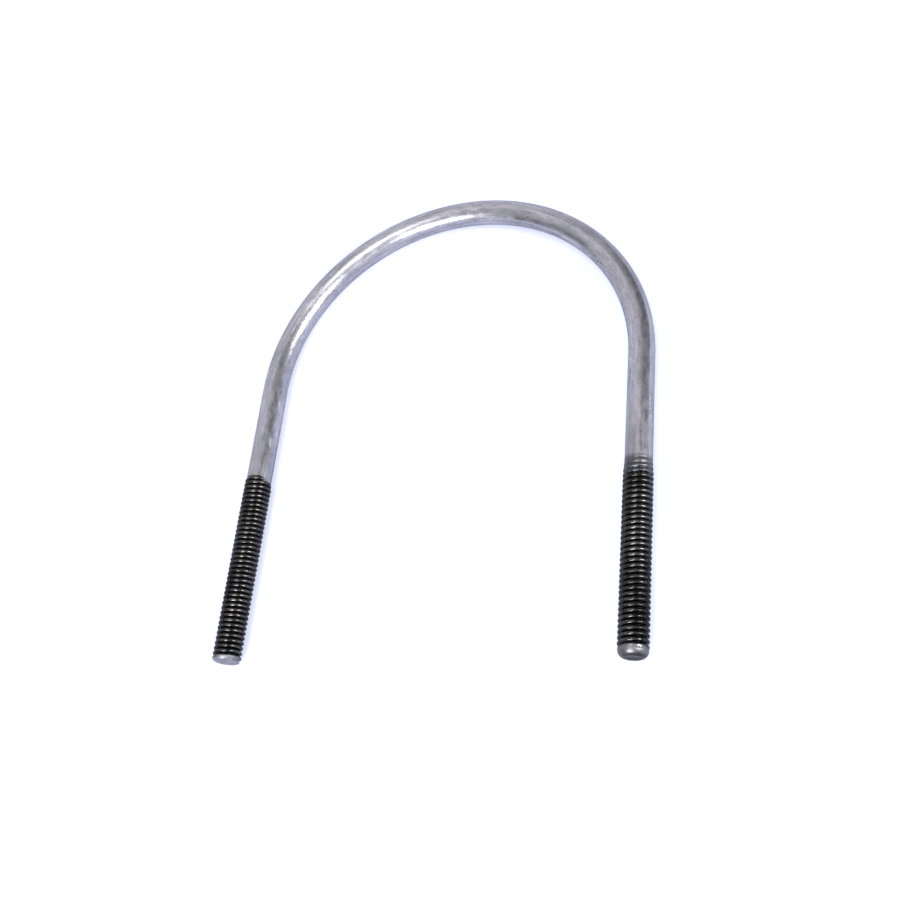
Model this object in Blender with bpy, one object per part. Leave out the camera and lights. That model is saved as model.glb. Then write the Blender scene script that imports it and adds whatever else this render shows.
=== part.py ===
"""Bare U-bolt for a 3 1/2 inch pipe: one round steel bar with a rolled right-hand thread at each end.

The bar lies flat: X across the legs, Y along them towards the bow, Z up, all in metres.
The origin is under the middle of the bounding box, where the thread crests rest.

The surface is laid out on the straight bar, as (distance from the first tip, angle round
the bar), and is then carried round the bow.  Along a thread the rings of points are skewed
into a helix, so that crest and root run through the mesh as edges.
"""
import math

import bpy
from mathutils import Vector

NAME = "u_bolt"
SLOT = "zinc_steel"

# The pipe that the bolt goes round, and the bar
INSIDE_WIDTH = 0.10320      # between the legs, 4 1/16 in
INSIDE_HEIGHT = 0.13450     # from the leg ends to the inside of the bow
SHANK_DIAMETER = 0.00715    # plain bar, close to the pitch diameter

# 5/16-18 UNC-2A external thread, as rolled
MAJOR_DIAMETER = 0.00780
MINOR_DIAMETER = 0.00617
PITCH = 0.0254 / 18

# Each end, from the tip: thread length, length of the fading run-out, length of the
# tapered nose, and diameter of its flat end face
FIRST_END = dict(thread=0.0538, run_out=0.0014, nose=0.0010, face=0.0061)
SECOND_END = dict(thread=0.0523, run_out=0.0058, nose=0.0027, face=0.0054)

# Mesh density
SIDES = 16                  # round the bar
BOW_STEPS = 40              # rings round the bow
# One turn of the thread: distance along it in sides of a turn, and whether it is crest
TURN_PROFILE = ((0, True), (2, True), (9, False))
TURNS_BEFORE_TIP = 1        # a skewed ring starts this far back, so that it reaches the tip all round
SMOOTH_UP_TO = math.radians(35)

STEEL_COLOUR = (0.42, 0.42, 0.47, 1.0)
STEEL_ROUGHNESS = 0.38
STEEL_METALLIC = 0.9

SHANK_RADIUS = SHANK_DIAMETER / 2
CREST_RADIUS = MAJOR_DIAMETER / 2
ROOT_RADIUS = MINOR_DIAMETER / 2
BEND_RADIUS = (INSIDE_WIDTH + SHANK_DIAMETER) / 2
LEG_LENGTH = INSIDE_HEIGHT - INSIDE_WIDTH / 2
BOW_LENGTH = math.pi * BEND_RADIUS
BAR_LENGTH = 2 * LEG_LENGTH + BOW_LENGTH
BOW_CENTRE = Vector((0, (LEG_LENGTH - BEND_RADIUS - SHANK_RADIUS) / 2, CREST_RADIUS))
STEP = PITCH / SIDES        # how far the helix climbs from one side to the next
WELD_GAP = STEP / 100       # points of one side closer along the bar than this are one point


def clear_scene():
    for old in list(bpy.data.objects):
        bpy.data.objects.remove(old, do_unlink=True)


def bend(along, side, radius):
    """The point at this distance along the bar, this side of it and this far from its axis."""
    angle = 2 * math.pi * side / SIDES
    outward = radius * math.cos(angle)
    height = radius * math.sin(angle)
    if along < LEG_LENGTH:
        return BOW_CENTRE + Vector((-BEND_RADIUS - outward, along - LEG_LENGTH, height))
    if along > LEG_LENGTH + BOW_LENGTH:
        return BOW_CENTRE + Vector((BEND_RADIUS + outward, BAR_LENGTH - LEG_LENGTH - along, height))
    turn = math.pi - (along - LEG_LENGTH) / BEND_RADIUS
    reach = BEND_RADIUS + outward
    return BOW_CENTRE + Vector((reach * math.cos(turn), reach * math.sin(turn), height))


def thread_radius(end, from_tip, is_crest):
    """Radius of a crest or root this far from the tip: full form, run-out, or tapered nose."""
    full = CREST_RADIUS if is_crest else ROOT_RADIUS
    share = min(1.0, max(0.0, (end["thread"] - from_tip) / end["run_out"]))
    radius = SHANK_RADIUS + (full - SHANK_RADIUS) * share
    face_radius = end["face"] / 2
    taper = face_radius + (CREST_RADIUS - face_radius) * from_tip / end["nose"]
    return min(radius, taper)


def thread_rings(end, is_first):
    """Skewed rings of (distance along the bar, radius) for one threaded end.

    Each ring has SIDES + 1 entries, because it ends where the ring one turn on begins.
    Distances are cut off at the ends of the thread, so the first and last rings are flat.
    """
    turns = math.ceil(end["thread"] / PITCH) + 1
    rings = []
    for turn in range(-TURNS_BEFORE_TIP, turns):
        for offset, is_crest in TURN_PROFILE:
            ring = []
            for side in range(SIDES + 1):
                climbed = STEP * (turn * SIDES + offset + side)
                along = min(end["thread"], max(0.0, climbed))
                from_tip = along if is_first else end["thread"] - along
                radius = thread_radius(end, from_tip, is_crest)
                start = 0.0 if is_first else BAR_LENGTH - end["thread"]
                ring.append((start + along, radius))
            rings.append(ring)
    return rings


def bow_rings():
    """Flat rings round the bow.  The plain legs run from its first and last ring to the threads."""
    rings = []
    for step in range(BOW_STEPS + 1):
        along = LEG_LENGTH + BOW_LENGTH * step / BOW_STEPS
        rings.append([(along, SHANK_RADIUS)] * (SIDES + 1))
    return rings


def build_mesh():
    rings = thread_rings(FIRST_END, True) + bow_rings() + thread_rings(SECOND_END, False)
    points = []
    index_of = {}

    def point_index(along, side, radius):
        """Points that were cut off at the same place become one point."""
        key = (round(along / WELD_GAP), side % SIDES)
        if key not in index_of:
            index_of[key] = len(points)
            points.append(bend(along, side, radius))
        return index_of[key]

    faces = []
    grid = [[point_index(along, side, radius) for side, (along, radius) in enumerate(ring)]
            for ring in rings]
    for lower, upper in zip(grid, grid[1:]):
        for side in range(SIDES):
            corners = (lower[side], lower[side + 1], upper[side + 1], upper[side])
            face = tuple(dict.fromkeys(corners))
            if len(face) > 2:
                faces.append(face)
    faces.append(tuple(reversed(grid[0][:SIDES])))
    faces.append(tuple(grid[-1][:SIDES]))

    mesh = bpy.data.meshes.new(NAME)
    mesh.from_pydata(points, [], faces)
    mesh.validate()
    return mesh


def steel():
    material = bpy.data.materials.new(SLOT)
    material.use_nodes = True
    shader = material.node_tree.nodes["Principled BSDF"]
    shader.inputs["Base Color"].default_value = STEEL_COLOUR
    shader.inputs["Roughness"].default_value = STEEL_ROUGHNESS
    shader.inputs["Metallic"].default_value = STEEL_METALLIC
    return material


def main():
    clear_scene()
    mesh = build_mesh()
    mesh.materials.append(steel())
    mesh.shade_smooth()
    mesh.set_sharp_from_angle(angle=SMOOTH_UP_TO)
    bolt = bpy.data.objects.new(NAME, mesh)
    bpy.context.scene.collection.objects.link(bolt)


main()
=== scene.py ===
"""The looks of the bare U-bolt: a fine mesh of the one bent and threaded bar, its metal, and a light tent.

Everything is in metres in the row frame: X across the legs, Y along them towards the bow,
Z up, with the bolt lying on the floor at Z = 0.  The bar is laid out straight first, as
(distance from the first tip, angle round the bar, radius), and then carried round the bow.

The points of the mesh keep three attributes for the metal.  "straight" is the place on the
straight bar, so that draw lines and marks run along the bar round the bend.  "crest" is 0 on
the root of a thread and 1 on its crest and on plain bar.  "stain" is how black the steel is.
"""
import math

import bpy
import numpy as np
from mathutils import Matrix, Vector


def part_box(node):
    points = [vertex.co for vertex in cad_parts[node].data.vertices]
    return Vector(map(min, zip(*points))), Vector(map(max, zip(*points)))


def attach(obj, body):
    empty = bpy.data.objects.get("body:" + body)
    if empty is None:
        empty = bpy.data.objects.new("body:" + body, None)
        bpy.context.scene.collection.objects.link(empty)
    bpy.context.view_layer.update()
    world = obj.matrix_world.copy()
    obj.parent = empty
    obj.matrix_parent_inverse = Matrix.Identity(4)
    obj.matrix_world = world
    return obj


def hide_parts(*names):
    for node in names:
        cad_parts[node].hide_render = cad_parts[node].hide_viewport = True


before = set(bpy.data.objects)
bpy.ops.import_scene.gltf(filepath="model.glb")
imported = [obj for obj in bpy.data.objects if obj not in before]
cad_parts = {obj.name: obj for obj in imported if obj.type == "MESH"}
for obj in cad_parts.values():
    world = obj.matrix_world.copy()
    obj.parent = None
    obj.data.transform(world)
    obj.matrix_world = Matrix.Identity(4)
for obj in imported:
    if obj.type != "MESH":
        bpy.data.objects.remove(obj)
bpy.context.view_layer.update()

NODE = "u_bolt"
SLOT = "zinc_steel"

# The bar and its 5/16-18 UNC thread, as on the CAD node
SHANK_RADIUS = 0.00715 / 2
PITCH = 0.0254 / 18
FLANK_ANGLE = math.radians(30)
CREST_ROUND = 0.34              # radius of the rounded crest, in pitches
ROOT_ROUND = 0.08               # radius of the rounded root, in pitches

node_low, node_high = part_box(NODE)
CREST_RADIUS = (node_high.z - node_low.z) / 2
THREAD_DEPTH = (0.5 / math.tan(FLANK_ANGLE) - CREST_ROUND - ROOT_ROUND) * PITCH
ROOT_RADIUS = CREST_RADIUS - THREAD_DEPTH
NOSE_RADIUS = 0.96 * CREST_RADIUS       # of the second end, before its thread starts
BEND_RADIUS = (node_high.x - node_low.x) / 2 - CREST_RADIUS
BOW_CENTRE = Vector((0, node_high.y - BEND_RADIUS - SHANK_RADIUS, CREST_RADIUS))
BOW_LENGTH = math.pi * BEND_RADIUS
LEG_LENGTH = BOW_CENTRE.y - node_low.y
BAR_LENGTH = 2 * LEG_LENGTH + BOW_LENGTH

# The two threaded ends.  Lengths are along the bar, from the tip:
#   thread      length of the thread, with its run-out
#   run_out     length over which the thread fades into the plain bar
#   nose        length of the rounded tip
#   blunt       where the thread starts; one pitch further on it is full
#   lag         how much sooner the thread stops on one side of the bar
#   face        width of the flat end face, then how dark that face is made, 0 to 1
#   shift       start of the helix, in pitches
#   stain       how black the steel is, 0 to 1, at distances from the tip
FIRST_END = dict(
    thread=0.0538, run_out=0.0014, nose=0.0010, blunt=-0.0014, lag=0.0012, shift=0.3,
    face=0.0060, face_darkness=0.30,
    stain=((0, 0.30), (0.0005, 0.40), (0.0011, 0.80), (0.0022, 1.0), (0.0536, 1.0), (0.0538, 0.3)))
# The second end's face is made fully dark, as dark as the root of its thread.
SECOND_END = dict(
    thread=0.0523, run_out=0.0058, nose=0.0024, blunt=0.0016, lag=0.0, shift=0.3,
    face=0.0046, face_darkness=1.0,
    stain=((0, 1.0), (0.0003, 0.80), (0.0009, 0.62), (0.0017, 0.6), (0.0023, 0.80), (0.0027, 1.0),
           (0.0455, 1.0), (0.0472, 0.80), (0.0512, 0.65), (0.0523, 0.24)))
# Round the bar the lag sets in at LAG_START and is whole LAG_SPREAD further on.  It drops back
# to none at the outer side of the bar, where each ring ends and the next begins.  There it
# leaves a short open seam in the run-out of the first thread.
LAG_START = math.radians(118)
LAG_SPREAD = math.radians(50)
FILM_STAIN = 0.24               # of the oily film on the plain bar, next to a thread
FILM_REACH = 0.025

MILLIMETRES = 1000              # in a metre

# Marks on the plain bar: distance from the first tip in millimetres, angle round the bar in
# degrees from its outer side, and length and width in millimetres
SCUFFS = ((64.5, 140, 3.0, 0.5), (77.3, 152, 1.8, 0.6), (95.4, 145, 2.2, 0.5), (87.2, 59, 3.0, 0.5))
PITS = ((60.6, 129, 1.4, 0.5), (81.2, 150, 1.6, 0.5), (97.0, 126, 2.0, 0.5), (120.6, 157, 0.9, 0.5),
        (222.0, 148, 1.5, 0.5), (225.8, 155, 1.5, 0.5), (242.5, 49, 1.2, 0.5), (246.8, 98, 0.9, 0.6))
MARK_CORE = 0.5                 # a mark is full up to here, in half its size
MARK_RIM = 1.3                  # and gone from here on

# Mesh density
SIDES = 64
SPARE_TURNS = 2                 # before and past a thread, so that skewed rings fill it all round
# Rings in one turn of thread, in sides of a turn from the middle of the crest
TURN_RINGS = (0, 4, 8, 12, 16, 22, 28, 32, 36, 42, 48, 52, 56, 60)
PLAIN_RING_GAP = 0.0008
FACE_RINGS = 7
FACE_DISH = 0.00010             # how far the middle of the sheared end faces lies below flat
FACE_RIPPLE = 0.3               # share of the dish that waves round the face
WELD_GAP = 1e-8
SMOOTH_UP_TO = math.radians(50)

# Reflectance of the metal
DARK_BAR = (0.215, 0.215, 0.25, 1)
LIGHT_BAR = (0.45, 0.443, 0.483, 1)
SCUFFED_BAR = (0.62, 0.62, 0.63, 1)
PITTED_BAR = (0.14, 0.14, 0.15, 1)
OILED_CREST = (0.018, 0.018, 0.017, 1)
RUBBED_CREST = (0.094, 0.092, 0.087, 1)
ROOT = (0.021, 0.021, 0.022, 1)
GRAZING_TINT = (0.62, 0.62, 0.64, 1)

# Roughness of the metal
BAR_ROUGHNESS = (0.23, 0.32)
HALF_STAINED_ROUGHNESS = 0.7    # times the stained and the clean share, added to the bar's
NOSE_ROUGHNESS = 0.60           # at most, where the stain isn't yet full
THREAD_ROUGHNESS = 0.17         # at most, where it is
BUMP_STRENGTH = 0.4
BUMP_HEIGHT = 0.00006
NOISE_ROUGHNESS = 0.55

# The camera.  Its target, from the bow's centre, and its distance are in bend radii.
CAMERA_TARGET = (0.0571, -0.4402)
CAMERA_DISTANCE = 5.8025
CAMERA_TURN = math.radians(39.308)
CAMERA_HEIGHT = math.radians(55.894)
CAMERA_ROLL = math.radians(-38.588)
CAMERA_LENS = 47.143
CAMERA_CLIP = 0.01

# The floor, which glows so that it is white beside the bolt's soft shadow and far away
FLOOR_REACH = 4.0
FLOOR_COLOUR = (0.36, 0.37, 0.43, 1)
FLOOR_ROUGHNESS = 0.9
GLOW_COLOUR = (0.75, 0.80, 1.0, 1)
NEAR_GLOW = (0.30, 0.58)        # distance from the bolt, and strength up to there
FAR_GLOW = (0.80, 1.0)          # distance from the bolt, and strength from there on

# The light tent.  Directions are degrees from +Y towards +X, and degrees above the floor.
TENT_COLOUR = (1.22, 1.21, 1.27, 1)
BACKDROP = (1.2, 1.2, 1.2, 1)   # what the camera sees past the floor
# Dark openings: direction, degrees from their middle to full dark and to full light, brightness
OPENINGS = ((42, 48, 10, 44, 0.65), (38, 20, 6, 42, 0.34),
            (255, 50, 6, 34, 0.85), (243, 14, 6, 38, 0.45))
# Lamps: name, direction, width and tallness in degrees, radiance, colour
LAMPS = (("left_softbox", 186, 30, 19, 24, 23.0, (0.97, 0.985, 1.0)),
         ("right_softbox", 101, 30, 19, 24, 23.0, (0.97, 0.985, 1.0)),
         ("top_lamp", 145, 86, 18, 20, 8.0, (1.0, 0.97, 0.92)))
LAMP_DISTANCE = 0.9


# ---------------------------------------------------------------- the bar's shape

def bend(along, angle, radius):
    """Straight-bar coordinates, as arrays, carried round the bow to points in the row frame."""
    outward = BEND_RADIUS + radius * np.cos(angle)
    height = BOW_CENTRE.z + radius * np.sin(angle)
    past = np.clip(along - LEG_LENGTH, 0, BOW_LENGTH)
    turn = math.pi - past / BEND_RADIUS
    below = np.where(along < LEG_LENGTH, along - LEG_LENGTH, 0)
    below = np.where(along > LEG_LENGTH + BOW_LENGTH, LEG_LENGTH + BOW_LENGTH - along, below)
    x = outward * np.cos(turn)
    y = BOW_CENTRE.y + outward * np.sin(turn) + below
    return np.stack([x, y, height], axis=-1)


def smooth(share):
    """0 to 1 with soft ends."""
    share = np.clip(share, 0, 1)
    return share * share * (3 - 2 * share)


def round_the_bar():
    """Angles of the points of one ring, from the outer side of the bar and back to it."""
    return 2 * math.pi * np.arange(SIDES + 1) / SIDES


def crest_share(away):
    """0 on the root and 1 on the crest, for a distance from the crest's middle in pitches."""
    from_root = 0.5 - away
    crest_arc = np.sqrt(np.maximum(CREST_ROUND ** 2 - away ** 2, 0)) - CREST_ROUND
    root_arc = ROOT_ROUND - np.sqrt(np.maximum(ROOT_ROUND ** 2 - from_root ** 2, 0))
    arc_reach = math.cos(FLANK_ANGLE)
    depth = THREAD_DEPTH / PITCH
    flank = from_root / math.tan(FLANK_ANGLE) - ROOT_ROUND
    height = np.where(away < CREST_ROUND * arc_reach, depth + crest_arc, flank)
    height = np.where(from_root < ROOT_ROUND * arc_reach, root_arc, height)
    return height / depth


def thread_radius(end, from_tip, share):
    """Radius of a threaded end, and how fully its thread is formed there, 0 to 1."""
    formed = smooth((end["thread"] - from_tip) / end["run_out"])
    formed = formed * smooth((from_tip - end["blunt"]) / PITCH)
    full = ROOT_RADIUS + (CREST_RADIUS - ROOT_RADIUS) * share
    blank = np.where(from_tip < PITCH + end["blunt"], NOSE_RADIUS, SHANK_RADIUS)
    radius = blank + (full - blank) * formed
    face_radius = end["face"] / 2
    back = 1 - np.clip(from_tip / end["nose"], 0, 1)
    rounding = face_radius + (CREST_RADIUS - face_radius) * np.sqrt(1 - back * back)
    return np.minimum(radius, rounding), formed


# The next three return (distance along the bar, radius, crest, stain), each by (ring, side).

def thread_rings(end, is_first):
    """Rings of one threaded end, skewed so that they follow the helix."""
    turns = range(-SPARE_TURNS, math.ceil(end["thread"] / PITCH) + SPARE_TURNS)
    ring_turns = np.array([turn + step / SIDES for turn in turns for step in TURN_RINGS])
    away = np.abs(ring_turns - np.round(ring_turns))
    sides = np.arange(SIDES + 1)
    climbed = PITCH * (ring_turns[:, None] + sides[None, :] / SIDES + end["shift"])
    along = np.clip(climbed, 0, end["thread"])
    from_tip = along if is_first else end["thread"] - along
    share = np.broadcast_to(crest_share(away)[:, None], along.shape)
    lagging = smooth((round_the_bar() - LAG_START) / LAG_SPREAD)
    lagging = lagging * (from_tip > end["thread"] / 2)
    from_tip = from_tip + end["lag"] * lagging
    radius, formed = thread_radius(end, from_tip, share)
    start = 0 if is_first else BAR_LENGTH - end["thread"]
    stain = np.interp(from_tip, *zip(*end["stain"]))
    return start + along, radius, 1 - formed * (1 - share), stain


def plain_rings():
    """Flat rings of the plain bar between the threads, with an oily film that fades away from each."""
    start = FIRST_END["thread"]
    stop = BAR_LENGTH - SECOND_END["thread"]
    count = math.ceil((stop - start) / PLAIN_RING_GAP)
    along = np.repeat(np.linspace(start, stop, count + 1)[:, None], SIDES + 1, axis=1)
    to_thread = np.minimum(along - start, stop - along)
    film = FILM_STAIN * smooth(1 - to_thread / FILM_REACH)
    nothing = np.zeros_like(along)
    return along, nothing + SHANK_RADIUS, nothing + 1, film


def face_rings(end, is_first):
    """Rings that close one tip, from its rim towards its middle, which is a little dished."""
    face_radius = end["face"] / 2
    radii = face_radius * np.linspace(1, 0, FACE_RINGS + 1)[1:-1]
    wave = 1 - FACE_RIPPLE + FACE_RIPPLE * np.cos(2 * round_the_bar())
    dip = FACE_DISH * smooth(1 - radii / face_radius)[:, None] * wave[None, :]
    along = dip if is_first else BAR_LENGTH - dip
    nothing = np.zeros_like(along)
    stain = end["face_darkness"]
    return along, nothing + radii[:, None], nothing + 1 - stain, nothing + stain


def joined_rings():
    """All rings from the first tip to the second."""
    first_face = [part[::-1] for part in face_rings(FIRST_END, True)]
    bands = [
        first_face,
        thread_rings(FIRST_END, True),
        plain_rings(),
        thread_rings(SECOND_END, False),
        face_rings(SECOND_END, False),
    ]
    return [np.concatenate([band[part] for band in bands]) for part in range(4)]


def weld(along, radius):
    """Points of the rings to keep, and for each ring and side the number of its kept point."""
    side = np.broadcast_to(np.arange(SIDES + 1) % SIDES, along.shape)
    places = np.stack([np.round(along / WELD_GAP), np.round(radius / WELD_GAP), side], axis=-1)
    _, kept, number = np.unique(places.reshape(-1, 3), axis=0, return_index=True, return_inverse=True)
    return kept, number.reshape(along.shape)


def faces_between(rings):
    """Faces from ring to ring; where points of a face are welded it has fewer corners."""
    faces = []
    for lower, upper in zip(rings, rings[1:]):
        for side in range(SIDES):
            corners = (lower[side], lower[side + 1], upper[side + 1], upper[side])
            face = tuple(dict.fromkeys(int(corner) for corner in corners))
            if len(face) > 2:
                faces.append(face)
    return faces


def bar_mesh():
    """The whole bar as one mesh, closed except for the short seam that the lag leaves."""
    along, radius, crest, stain = joined_rings()
    kept, number = weld(along, radius)
    angle = np.broadcast_to(round_the_bar(), along.shape)
    along, radius, crest, stain, angle = (
        part.reshape(-1)[kept] for part in (along, radius, crest, stain, angle))
    faces = faces_between(number)

    # A fan of triangles closes the middle of each end face
    for end, ring, middle_along in ((FIRST_END, number[0], FACE_DISH),
                                    (SECOND_END, number[-1], BAR_LENGTH - FACE_DISH)):
        middle = len(along)
        along = np.append(along, middle_along)
        radius = np.append(radius, 0)
        angle = np.append(angle, 0)
        crest = np.append(crest, 1 - end["face_darkness"])
        stain = np.append(stain, end["face_darkness"])
        for here, there in zip(ring, ring[1:]):
            fan = (int(there), int(here)) if end is FIRST_END else (int(here), int(there))
            faces.append((middle, *fan))

    mesh = bpy.data.meshes.new("u_bolt_bar")
    mesh.from_pydata(bend(along, angle, radius).tolist(), [], faces)
    mesh.validate()
    straight = np.stack([along, radius * np.cos(angle), radius * np.sin(angle)], axis=-1)
    store(mesh, "straight", "FLOAT_VECTOR", "vector", straight)
    store(mesh, "crest", "FLOAT", "value", crest)
    store(mesh, "stain", "FLOAT", "value", stain)
    mesh.shade_smooth()
    mesh.set_sharp_from_angle(angle=SMOOTH_UP_TO)
    return mesh


def store(mesh, name, kind, field, values):
    """Gives each point of the mesh its value as an attribute."""
    attribute = mesh.attributes.new(name, kind, "POINT")
    attribute.data.foreach_set(field, np.asarray(values, dtype=np.float32).reshape(-1))


# ---------------------------------------------------------------- the metal

class Tree:
    """Short names for the shader nodes that the materials and the tent use."""

    def __init__(self, owner):
        owner.use_nodes = True
        self.nodes = owner.node_tree.nodes
        self.links = owner.node_tree.links
        self.nodes.clear()

    def add(self, kind, settings=None, **inputs):
        """A node with these settings.  Input names have _ for a space."""
        node = self.nodes.new(kind)
        for name, value in (settings or {}).items():
            setattr(node, name, value)
        for name, value in inputs.items():
            self.put(node.inputs[name.replace("_", " ")], value)
        return node

    def put(self, socket, value):
        """Links another node's output to the socket, or sets it to a constant."""
        if isinstance(value, bpy.types.NodeSocket):
            self.links.new(value, socket)
        else:
            socket.default_value = value

    def filled(self, kind, settings, values):
        """A node whose first inputs have these values."""
        node = self.add(kind, settings)
        for socket, value in zip(node.inputs, values):
            self.put(socket, value)
        return node

    def attribute(self, name, output="Fac"):
        return self.add("ShaderNodeAttribute", {"attribute_name": name}).outputs[output]

    def math(self, operation, *values):
        return self.filled("ShaderNodeMath", {"operation": operation}, values).outputs[0]

    def vector(self, operation, *values):
        """A vector operation with a vector as its result."""
        return self.filled("ShaderNodeVectorMath", {"operation": operation}, values).outputs["Vector"]

    def number(self, operation, *values):
        """A vector operation with a number as its result."""
        return self.filled("ShaderNodeVectorMath", {"operation": operation}, values).outputs["Value"]

    def weighted(self, *parts):
        """Sum of (value, weight) pairs."""
        total = 0.0
        for value, weight in parts:
            total = self.math("MULTIPLY_ADD", value, weight, total)
        return total

    def span(self, value, low, high, to_low=0.0, to_high=1.0, soft=False):
        """Maps low..high to to_low..to_high and holds it there."""
        settings = {"interpolation_type": "SMOOTHSTEP" if soft else "LINEAR"}
        return self.filled("ShaderNodeMapRange", settings, (value, low, high, to_low, to_high)).outputs[0]

    def mix(self, share, first, second):
        """Colour between two others."""
        node = self.add("ShaderNodeMix", {"data_type": "RGBA"})
        self.put(node.inputs[0], share)
        self.put(node.inputs[6], first)
        self.put(node.inputs[7], second)
        return node.outputs[2]

    def noise(self, millimetres, along, across, detail):
        """Noise with so many waves to a millimetre along the bar and across it."""
        place = self.vector("MULTIPLY", millimetres, (along, across, across))
        node = self.add("ShaderNodeTexNoise", Vector=place, Scale=1.0, Detail=detail,
                        Roughness=NOISE_ROUGHNESS)
        return node.outputs[0]

    def marks(self, millimetres, places):
        """1 in the middle of each of the places and 0 away from them."""
        total = 0.0
        for along, angle, length, width in places:
            side = math.radians(angle)
            radius = SHANK_RADIUS * MILLIMETRES
            middle = (along, radius * math.cos(side), radius * math.sin(side))
            away = self.vector("SUBTRACT", millimetres, middle)
            in_half_sizes = self.vector("MULTIPLY", away, (2 / length, 2 / width, 2 / width))
            near = self.span(self.number("LENGTH", in_half_sizes), MARK_RIM, MARK_CORE, soft=True)
            total = self.math("MAXIMUM", total, near)
        return total

    def finish(self, kind, shader):
        """Links the shader to a new output node of this kind."""
        self.links.new(shader.outputs[0], self.add(kind).inputs[0])


def metal():
    """Drawn bright steel on the plain bar, dark oily steel with rubbed crests on the threads."""
    material = bpy.data.materials.new(SLOT)
    tree = Tree(material)
    millimetres = tree.vector("MULTIPLY", tree.attribute("straight", "Vector"), (MILLIMETRES,) * 3)
    draw_lines = tree.noise(millimetres, along=0.05, across=1.8, detail=4.0)
    clouds = tree.noise(millimetres, along=0.06, across=0.25, detail=4.0)
    blotches = tree.noise(millimetres, along=0.30, across=0.75, detail=3.0)
    grain = tree.noise(millimetres, along=1.1, across=1.7, detail=2.0)
    specks = tree.noise(millimetres, along=0.585, across=1.95, detail=1.0)

    # Plain bar: drawn streaks and mottling, with bright scuffs and dark pits on top
    tone = tree.weighted((draw_lines, 0.36), (clouds, 0.26), (blotches, 0.24), (grain, 0.14))
    bar_colour = tree.mix(tree.span(tone, 0.385, 0.615), DARK_BAR, LIGHT_BAR)
    ragged = tree.span(grain, 0.35, 0.60, 0.4, 1.0)
    scuffed = tree.math("MULTIPLY", tree.marks(millimetres, SCUFFS), ragged)
    scuffed = tree.math("MAXIMUM", scuffed, tree.span(specks, 0.70, 0.78, soft=True))
    bar_colour = tree.mix(scuffed, bar_colour, SCUFFED_BAR)
    pitted = tree.math("MULTIPLY", tree.marks(millimetres, PITS), ragged)
    pitted = tree.math("MAXIMUM", pitted, tree.span(specks, 0.27, 0.22, soft=True))
    bar_colour = tree.mix(pitted, bar_colour, PITTED_BAR)

    # Threads: near black in the valleys, oiled or rubbed on the crests
    wear = tree.weighted((grain, 0.4), (clouds, 0.6))
    crest_colour = tree.mix(tree.span(wear, 0.42, 0.60), OILED_CREST, RUBBED_CREST)
    on_crest = tree.span(tree.attribute("crest"), 0.50, 1.0, soft=True)
    thread_colour = tree.mix(on_crest, ROOT, crest_colour)

    # The stain that turns one into the other has a ragged edge, and is dull where it is half there
    ragged_stain = tree.math("ADD", tree.attribute("stain"), tree.span(grain, 0.3, 0.7, -0.12, 0.12))
    stained = tree.span(ragged_stain, 0.10, 0.90)
    half_stained = tree.math("MULTIPLY", stained, tree.math("SUBTRACT", 1.0, stained))
    roughness = tree.span(blotches, 0.35, 0.65, *BAR_ROUGHNESS)
    roughness = tree.math("MULTIPLY_ADD", half_stained, HALF_STAINED_ROUGHNESS, roughness)
    at_most = tree.span(stained, 0.7, 1.0, NOSE_ROUGHNESS, THREAD_ROUGHNESS)
    roughness = tree.math("MINIMUM", roughness, at_most)

    # The bar's fine relief is fainter under the stain
    height = tree.weighted((draw_lines, 0.40), (blotches, 0.45), (grain, 0.15))
    height = tree.math("MULTIPLY", height, tree.span(stained, 0.0, 1.0, 1.0, 0.20))
    bump = tree.add("ShaderNodeBump", Strength=BUMP_STRENGTH, Distance=BUMP_HEIGHT, Height=height)

    shader = tree.add("ShaderNodeBsdfPrincipled", Metallic=1.0, Roughness=roughness,
                      Base_Color=tree.mix(stained, bar_colour, thread_colour),
                      Normal=bump.outputs[0])
    shader.inputs["Specular Tint"].default_value = GRAZING_TINT
    tree.finish("ShaderNodeOutputMaterial", shader)
    return material


# ---------------------------------------------------------------- floor, lamps and camera

def direction(turn, height):
    """Unit vector for degrees from +Y towards +X and degrees above the floor."""
    turn = math.radians(turn)
    height = math.radians(height)
    return Vector((math.sin(turn) * math.cos(height), math.cos(turn) * math.cos(height), math.sin(height)))


def lay_floor():
    """A plain white floor that the bolt lies on."""
    material = bpy.data.materials.new("floor")
    tree = Tree(material)
    away = tree.number("LENGTH", tree.add("ShaderNodeNewGeometry").outputs["Position"])
    glow = tree.span(away, NEAR_GLOW[0], FAR_GLOW[0], NEAR_GLOW[1], FAR_GLOW[1], soft=True)
    shader = tree.add("ShaderNodeBsdfPrincipled", Base_Color=FLOOR_COLOUR,
                      Roughness=FLOOR_ROUGHNESS, Emission_Strength=glow)
    shader.inputs["Specular IOR Level"].default_value = 0.0
    shader.inputs["Emission Color"].default_value = GLOW_COLOUR
    tree.finish("ShaderNodeOutputMaterial", shader)

    mesh = bpy.data.meshes.new("floor")
    corners = [(x * FLOOR_REACH, y * FLOOR_REACH, 0) for x, y in ((-1, -1), (1, -1), (1, 1), (-1, 1))]
    mesh.from_pydata(corners, [], [(0, 1, 2, 3)])
    mesh.materials.append(material)
    floor = bpy.data.objects.new("floor", mesh)
    bpy.context.scene.collection.objects.link(floor)


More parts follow.
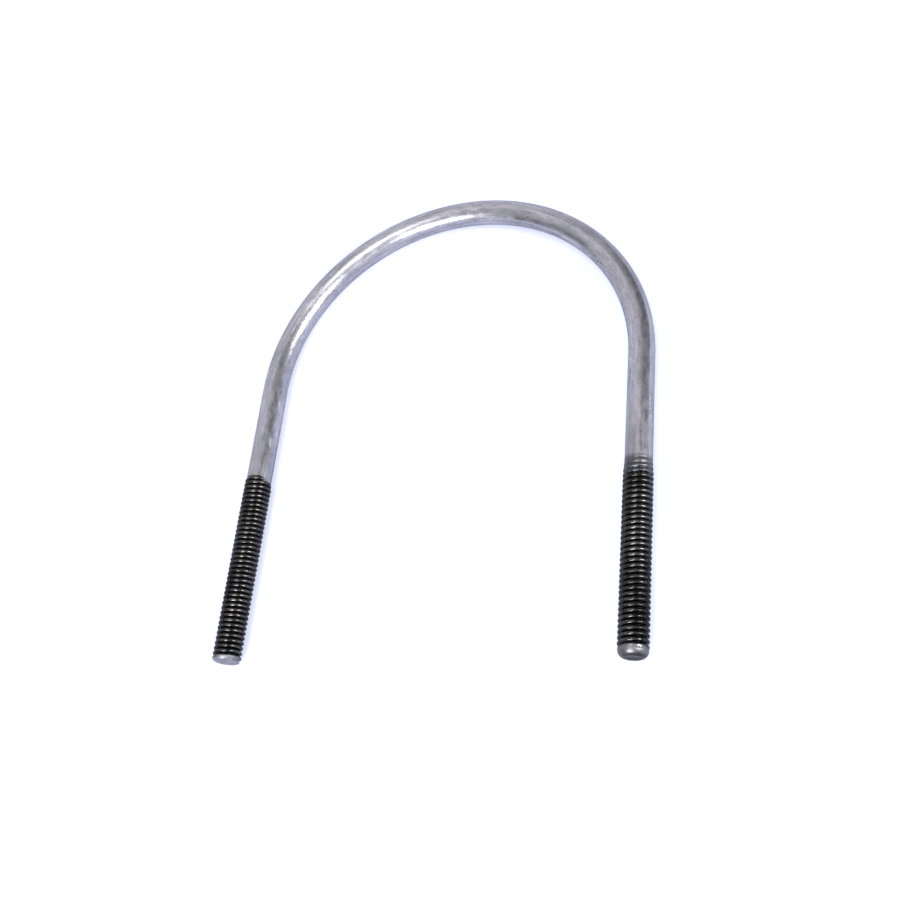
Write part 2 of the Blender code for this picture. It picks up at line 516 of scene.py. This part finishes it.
def add_lamp(name, turn, height, width, tall, radiance, colour):
    """A softbox that fills width by tall degrees as seen from the bolt."""
    lamp = bpy.data.lights.new(name, "AREA")
    lamp.shape = "RECTANGLE"
    lamp.size = 2 * LAMP_DISTANCE * math.tan(math.radians(width) / 2)
    lamp.size_y = 2 * LAMP_DISTANCE * math.tan(math.radians(tall) / 2)
    lamp.energy = radiance * math.pi * lamp.size * lamp.size_y
    lamp.color = colour
    holder = bpy.data.objects.new(name, lamp)
    way = direction(turn, height)
    holder.location = way * LAMP_DISTANCE
    holder.rotation_euler = way.to_track_quat("Z", "Y").to_euler()
    holder.visible_camera = False
    bpy.context.scene.collection.objects.link(holder)


def light_tent():
    """An even white tent with dark openings on two sides."""
    world = bpy.data.worlds.new("tent")
    bpy.context.scene.world = world
    tree = Tree(world)
    way = tree.add("ShaderNodeTexCoord").outputs["Generated"]
    colour = TENT_COLOUR
    for turn, height, dark_within, light_beyond, shade in OPENINGS:
        cosine = tree.number("DOT_PRODUCT", way, direction(turn, height))
        inside = tree.span(cosine, math.cos(math.radians(light_beyond)),
                           math.cos(math.radians(dark_within)), soft=True)
        colour = tree.mix(inside, colour, (shade, shade, shade, 1))
    seen = tree.add("ShaderNodeLightPath").outputs["Is Camera Ray"]
    background = tree.add("ShaderNodeBackground", Color=tree.mix(seen, colour, BACKDROP), Strength=1.0)
    tree.finish("ShaderNodeOutputWorld", background)


def add_camera():
    """A rolled camera that looks down on the bolt."""
    camera = bpy.data.cameras.new("camera")
    camera.lens = CAMERA_LENS
    camera.clip_start = CAMERA_CLIP
    target = BOW_CENTRE + Vector((*CAMERA_TARGET, 0)) * BEND_RADIUS
    back = Vector((math.sin(CAMERA_TURN) * math.cos(CAMERA_HEIGHT),
                   -math.cos(CAMERA_TURN) * math.cos(CAMERA_HEIGHT), math.sin(CAMERA_HEIGHT)))
    level = Vector((0, 0, 1)).cross(back).normalized()
    axes = Matrix((level, back.cross(level), back)).transposed()
    turned = axes @ Matrix.Rotation(CAMERA_ROLL, 3, "Z")
    holder = bpy.data.objects.new("camera", camera)
    place = target + back * CAMERA_DISTANCE * BEND_RADIUS
    holder.matrix_world = Matrix.Translation(place) @ turned.to_4x4()
    bpy.context.scene.collection.objects.link(holder)
    bpy.context.scene.camera = holder


# ---------------------------------------------------------------- putting it together

mesh = bar_mesh()
mesh.materials.append(metal())
bar = bpy.data.objects.new("u_bolt_bar", mesh)
bpy.context.scene.collection.objects.link(bar)
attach(bar, "root")
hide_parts(NODE)

lay_floor()
light_tent()
for lamp_settings in LAMPS:
    add_lamp(*lamp_settings)
add_camera()
bpy.context.scene.view_settings.view_transform = "Standard"
